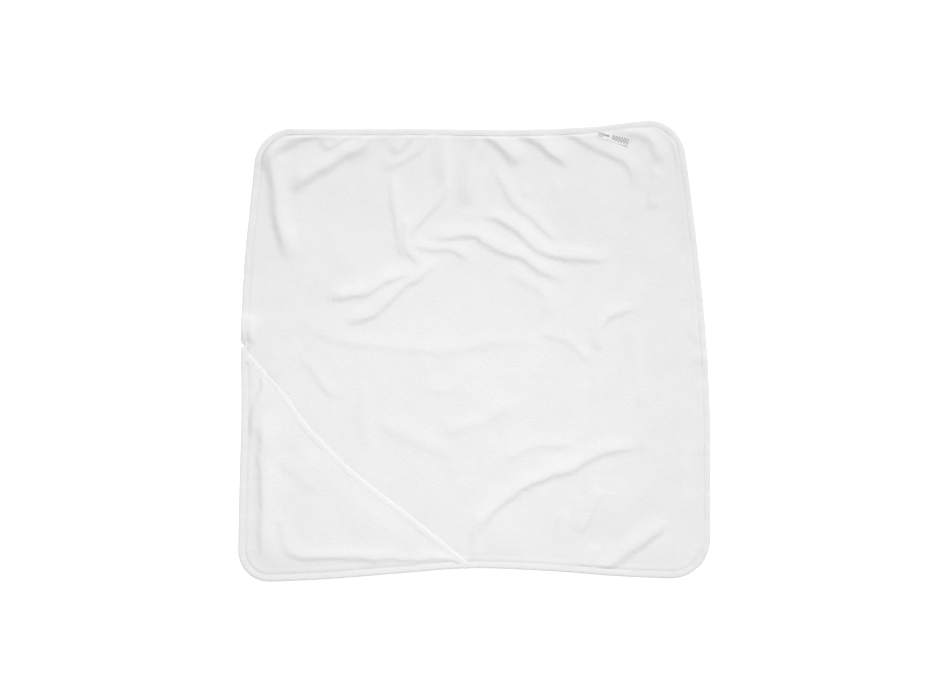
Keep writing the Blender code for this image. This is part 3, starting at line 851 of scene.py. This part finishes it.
def mouth_tape_rings(run):
    """Rings of the folded tape over the hood's free edge, and the heights of its two faces."""
    middle = run + MOUTH_INTO * 6 * MM  # of the tape's width
    floor = terry_top(middle[:, 0], middle[:, 1])
    low = np.maximum(hood_heights(middle[:, 0], middle[:, 1])[0] - MOUTH_TAPE_WALL, floor + 0.1 * MM)
    _, depth = station_of(middle[:, 0], middle[:, 1])
    open_part = smooth((depth - 7 * MM) / (7 * MM))
    high = low + (PRESSED + 2 * MOUTH_TAPE_WALL) * (MOUTH_TAPE_IN_SEAM + (1 - MOUTH_TAPE_IN_SEAM) * open_part)
    place = lengths(run)
    wave = noise(place, 0 * place, 0.019, 41) * 0.25 * MM
    high = high + noise(place, 0 * place, 0.015, 42) * 0.12 * MM
    profile = (  # distance from the mouth, share of the height, and what is added to it, in mm
        (11.4, 0, 0.1), (7.0, 0, 0.0), (2.4, 0, 0.0), (1.0, 0, 0.05), (0.2, 0, 0.25), (0.0, 0.24, 0.0),
        (0.3, 0.42, 0.0), (1.2, 0.64, 0.0), (2.4, 0.79, 0.0), (4.2, 0.93, 0.0), (6.4, 1, -0.02),
        (8.6, 1, -0.03), (10.3, 1, -0.18), (11.1, 1, -0.14), (11.8, 1, -0.22), (12.3, 1, -0.32),
        (12.2, 1, -0.4), (10.8, 1, -0.4), (4.4, 0.84, -0.05), (4.2, 0, 0.4), (11.0, 0, 0.38),
        (12.0, 0, 0.34), (12.0, 0, 0.2),
    )
    rings = []
    for inset, share, extra in profile:
        z = low + (high - low) * share + extra * MM
        xy = run + MOUTH_INTO * (inset * MM + wave * inset / 12)[:, None]
        rings.append(np.column_stack([xy, z]))
    return np.stack(rings, axis=1), low, high


def make_mouth_tape():
    """The mouth's tape in two halves, each with its stitches on the front and on the back."""
    made = []
    left, right = split_at_middle(mouth_run(0.0, 6.5 * MM))
    for leg, (side, run) in enumerate((("left", left), ("right", right))):
        run = spaced(run, round(lengths(run)[-1] / SPACING) + 1)
        rings, low, high = mouth_tape_rings(run)
        piece = swept(f"mouth_tape_{side}", rings, TAPE, False)
        joined_corners(piece)
        made.append(bend_with_hood(piece))
        count = int((lengths(run)[-1] - 5 * MM) / STITCH_PITCH)
        before, after = (2.2, 1.5) if leg == 0 else (0.5, 3.2)  # points of the run that stay unsewn
        at = np.linspace(before, len(run) - after, count)
        for thread, inset, z, face in (
            ("needle", 10.3 * MM, high - 0.2 * MM, 1), ("bobbin", 10.2 * MM, low + 0.1 * MM, -1),
        ):
            line = np.column_stack([run + MOUTH_INTO * inset, z + face * STITCH_RADIUS * 0.6])
            index = np.arange(len(run))
            place = np.stack([np.interp(at, index, line[:, k]) for k in range(3)], axis=1)
            ahead = np.stack([np.interp(at + 0.4, index, line[:, k]) for k in range(3)], axis=1) - place
            sewn = stitches(f"mouth_{thread}_stitches_{side}", place, ahead, face)
            made.append(bend_with_hood(sewn))
    return made


# ------------ labels

def label_corners(node):
    """The label's corners (sewn left, sewn right, far left, far right) in the frame, and its outward way."""
    points = np.unique(np.round([v.co[:2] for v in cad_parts[node].data.vertices], 5), axis=0)
    stations, depth = station_of(points[:, 0], points[:, 1])
    order = np.argsort(depth)
    out = INWARD[stations[order[0]]]
    right = np.array((-out[1], out[0]))
    sewn = sorted(points[order[:2]], key=lambda p: p @ right)
    far = sorted(points[order[2:]], key=lambda p: p @ right)
    return (*sewn, *far), out


def label_point(corners, s, t):
    """The place on a label at share s from left to right and t from its sewn side to its far one."""
    a, b, c, d = corners
    s, t = np.asarray(s)[..., None], np.asarray(t)[..., None]
    return (a * (1 - s) + b * s) * (1 - t) + (c * (1 - s) + d * s) * t


def woven_height(corners, s, t):
    """The height of the woven label's underside: flat on the terry, its right end and far side lifting."""
    place = label_point(corners, s, t).reshape(-1, 2)
    s, t = np.ravel(s + 0 * t), np.ravel(t + 0 * s)
    flat = terry_top(place[:, 0], place[:, 1]) + 0.08 * MM
    lift = 0.1 * t**2 + 0.9 * t**2 * smooth((s - 0.66) / 0.34) + 0.1 * np.sin(7 * s) * t
    return place, flat + np.maximum(lift, 0) * MM


def make_woven_label():
    """The woven label and its motif, with the middle of its sewn side and its outward way."""
    corners, out = label_corners("woven_label")
    corners = (corners[0] - out * LABEL_IN_SEAM, corners[1] - out * LABEL_IN_SEAM, *corners[2:])
    s, t = np.meshgrid(np.linspace(0, 1, 41), np.linspace(0, 1, 25), indexing="ij")
    place, low = woven_height(corners, s, t)
    flat = place.reshape(*s.shape, 2)[:, ::-1]
    low = low.reshape(s.shape)[:, ::-1].ravel()
    piece = slab("woven_label_cloth", flat, low, low + LABEL_THICKNESS, LABEL, 1)
    return piece, make_motif(corners), (corners[0] + corners[1]) / 2, out


def make_motif(corners):
    """A plain row of diamonds with short bars in them, as raised dark threads."""
    down = corners[2] - corners[0]
    down /= np.linalg.norm(down)
    across = corners[3] - corners[2]
    width = np.linalg.norm(across)
    across /= width
    start = corners[2] - down * 7.2 * MM  # the pattern's middle line, at the label's left side
    runs = []
    wide = 2.1 * MM
    for k in (0, 1, 2, 3, 5, 6, 7, 8, 9, 10):  # one place stays empty, and two diamonds are small
        middle = (3.0 + 4.6 * k) * MM
        tall = (1.5 if k in (2, 3) else 2.6 + 0.3 * k) * MM
        left_tip, right_tip = (middle - wide, 0), (middle + wide, 0)
        runs.append([left_tip, (middle, tall), right_tip, (middle, -tall), left_tip])
        runs.append([(middle - 0.9 * MM, 0.3 * tall), (middle + 0.9 * MM, 0.3 * tall)])
        if k > 4:
            runs.append([(middle - 0.9 * MM, -0.3 * tall), (middle + 0.9 * MM, -0.3 * tall)])
    runs.append([(1.2 * MM, -3.9 * MM), (width * 0.16, -3.9 * MM)])
    points, faces = [], []
    for run in runs:
        run = np.array(run)
        run = spaced(run, max(3, int(lengths(run)[-1] / (0.5 * MM)))) if len(run) > 2 else spaced(run, 9)
        along = np.gradient(run, axis=0)
        along /= np.maximum(np.linalg.norm(along, axis=1), 1e-9)[:, None]
        side = np.stack([-along[:, 1], along[:, 0]], axis=1)
        first = sum(len(p) for p in points)
        for offset, rise in ((-0.42, 0.0), (-0.3, 0.16), (0.3, 0.16), (0.42, 0.0)):
            spot = run + side * offset * MM
            xy = start + across * spot[:, :1] - down * spot[:, 1:]
            s, t = shares_on(corners, xy)
            _, low = woven_height(corners, s, t)
            points.append(np.column_stack([xy, low + (0.46 + rise) * MM]))
        n = len(run)
        for row in range(3):
            for i in range(n - 1):
                a = first + row * n + i
                faces.append([a, a + 1, a + n + 1, a + n])
        for i in range(n - 1):
            faces.append([first + i, first + 3 * n + i, first + 3 * n + i + 1, first + i + 1])
        faces.append([first + row * n for row in range(4)])
        faces.append([first + row * n + n - 1 for row in range(3, -1, -1)])
    motif = mesh_object("woven_label_motif", np.vstack(points).tolist(), faces, LABEL_MOTIF)
    joined_corners(motif)
    return motif


def shares_on(corners, xy):
    """The shares s and t of points on a label, by a few rounds of Newton's method."""
    s, t = np.full(len(xy), 0.5), np.full(len(xy), 0.5)
    a, b, c, d = corners
    for _ in range(8):
        gap = xy - label_point(corners, s, t)
        ds = (b - a) * (1 - t)[:, None] + (d - c) * t[:, None]
        dt = (c - a) * (1 - s)[:, None] + (d - b) * s[:, None]
        size = ds[:, 0] * dt[:, 1] - ds[:, 1] * dt[:, 0]
        s = s + (gap[:, 0] * dt[:, 1] - gap[:, 1] * dt[:, 0]) / size
        t = t + (ds[:, 0] * gap[:, 1] - ds[:, 1] * gap[:, 0]) / size
    return s, t


def make_care_label():
    """The care label under the terry, with the middle of its sewn side and its outward way."""
    corners, out = label_corners("care_label")
    s, t = np.meshgrid(np.linspace(0, 1, 31), np.linspace(0, 1, 19), indexing="ij")
    flat = label_point(corners, s, t)
    low = (0.4 * MM + 0.12 * MM * np.sin(5 * s) * t)[:, ::-1].ravel()
    piece = slab("care_label_cloth", flat[:, ::-1], low, low + CARE_THICKNESS, CARE, 1)
    return piece, (corners[0] + corners[1]) / 2, out


# ------------ camera, light and floor

LENS, SENSOR = 50, 36
SEEN_WIDTH = 1.539  # that the camera sees of the floor
CAMERA_PLACE = (0.0, 0.0016, SEEN_WIDTH * LENS / SENSOR + 0.003)
FLOOR_COLOUR = (0.9, 0.9, 0.9, 1.0)
FLOOR_GLOW = 0.35
WORLD_LIGHT = 0.448
SUNS = (("key", 84, 38, 1.62, 18), ("side", 14, 34, 0.42, 26))  # azimuth, elevation, strength, spread
OVERHEAD_SIZE, OVERHEAD_POWER, OVERHEAD_PLACE = 0.6, 4.45, (-0.01, -0.09, 1.1)
WHITE = (1.0, 1.0, 1.0, 1.0)


def make_stage():
    """The camera, straight above, the white floor, two soft suns and an overhead lamp."""
    camera = bpy.data.objects.new("camera", bpy.data.cameras.new("camera"))
    camera.data.lens = LENS
    camera.data.sensor_width = SENSOR
    camera.location = CAMERA_PLACE
    bpy.context.scene.collection.objects.link(camera)
    bpy.context.scene.camera = camera

    floor_material = bpy.data.materials.new("floor")
    floor_material.use_nodes = True
    shader = floor_material.node_tree.nodes["Principled BSDF"]
    shader.inputs["Base Color"].default_value = FLOOR_COLOUR
    shader.inputs["Roughness"].default_value = 1.0
    shader.inputs["Specular IOR Level"].default_value = 0.0
    shader.inputs["Emission Color"].default_value = WHITE
    shader.inputs["Emission Strength"].default_value = FLOOR_GLOW
    bpy.ops.mesh.primitive_plane_add(size=12, location=(0, 0, -0.001))
    floor = bpy.context.active_object
    floor.name = "floor"
    floor.data.materials.append(floor_material)

    world = bpy.data.worlds.new("studio")
    bpy.context.scene.world = world
    world.use_nodes = True
    background = world.node_tree.nodes["Background"]
    background.inputs["Color"].default_value = WHITE
    background.inputs["Strength"].default_value = WORLD_LIGHT

    for name, turn, height, strength, spread in SUNS:
        light = bpy.data.lights.new(name, "SUN")
        light.energy = strength
        light.angle = math.radians(spread)
        lamp = bpy.data.objects.new(name, light)
        up, way = math.radians(height), math.radians(turn)
        place = Vector((math.cos(up) * math.cos(way), math.cos(up) * math.sin(way), math.sin(up)))
        lamp.rotation_euler = place.to_track_quat("Z", "Y").to_euler()
        bpy.context.scene.collection.objects.link(lamp)
    light = bpy.data.lights.new("overhead", "AREA")
    light.size = OVERHEAD_SIZE
    light.energy = OVERHEAD_POWER
    lamp = bpy.data.objects.new("overhead", light)
    lamp.location = OVERHEAD_PLACE
    lamp.visible_camera = False
    bpy.context.scene.collection.objects.link(lamp)
    bpy.context.scene.view_settings.view_transform = "Standard"


# ------------ all of it

def main():
    make_stage()
    body = make_terry()
    edge_tape, base, front = make_edge_tape()
    edge_sewing = make_edge_stitches(base, front)
    for piece in (body, edge_tape, *edge_sewing):
        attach(piece, "towel")
    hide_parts("terry_body")
    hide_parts("edge_binding")
    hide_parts("edge_seam_needle_thread")
    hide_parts("edge_seam_bobbin_thread")

    hood = make_hood_panel()
    for piece in hood:
        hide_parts("hood_panel")
    mouth = make_mouth_tape()
    for piece in mouth:
        if "tape" in piece.name:
            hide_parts("hood_mouth_binding")
        else:
            thread = "needle" if "needle" in piece.name else "bobbin"
            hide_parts(f"mouth_seam_{thread}_thread")

    label, motif, root, out = make_woven_label()
    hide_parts("woven_label")
    for piece in (label, motif):
        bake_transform(piece)
    care, root, out = make_care_label()
    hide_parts("care_label")
    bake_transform(care)


main()
